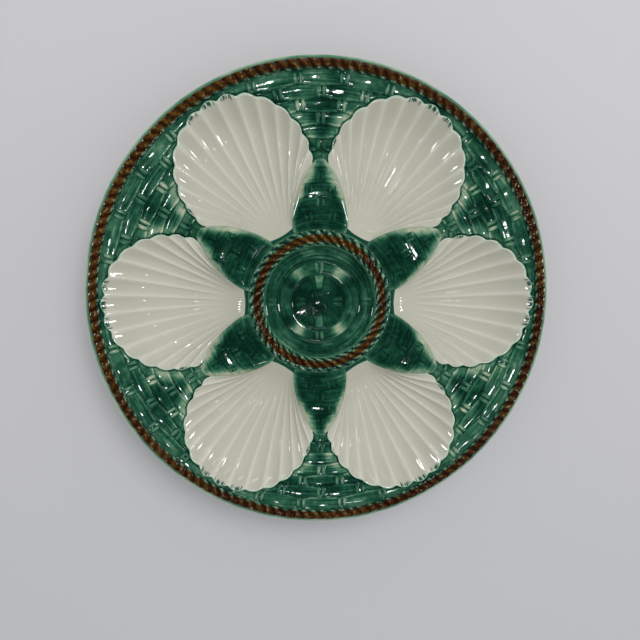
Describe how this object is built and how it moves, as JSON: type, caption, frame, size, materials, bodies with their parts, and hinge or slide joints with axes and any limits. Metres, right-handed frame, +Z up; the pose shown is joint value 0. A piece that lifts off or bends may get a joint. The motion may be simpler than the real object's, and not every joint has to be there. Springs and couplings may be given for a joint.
{
  "type": "oyster plate",
  "caption": "Round majolica oyster plate with scallop-shell wells on a basketweave ground, a centre well for sauce, and twisted-rope mouldings.",
  "frame": {"origin": "centre of the standing face of the foot ring", "axes": "+Z up out of the face of the plate; +X through the middle of shell_well_1; +Y through the basket panel between shell_well_2 and shell_well_3, which is at the top in the picture"},
  "size_m": [0.25, 0.25, 0.0299],
  "materials": {
    "green_glaze": "gloss",
    "white_glaze": "gloss",
    "brown_glaze": "gloss",
    "bare_clay": "matte"
  },
  "bodies": {
    "root": {"plate_body": "green_glaze", "foot_ring": "bare_clay", "hub_well": "green_glaze", "rim_rope": "brown_glaze", "hub_rope": "brown_glaze", "shell_well_1": "white_glaze", "shell_well_2": "white_glaze", "shell_well_3": "white_glaze", "shell_well_4": "white_glaze", "shell_well_5": "white_glaze", "shell_well_6": "white_glaze", "web_pad_1": "green_glaze", "web_pad_2": "green_glaze", "web_pad_3": "green_glaze", "web_pad_4": "green_glaze", "web_pad_5": "green_glaze", "web_pad_6": "green_glaze", "basket_stakes_1": "green_glaze", "basket_stakes_2": "green_glaze", "basket_stakes_3": "green_glaze", "basket_stakes_4": "green_glaze", "basket_stakes_5": "green_glaze", "basket_stakes_6": "green_glaze"}
  },
  "joints": []
}
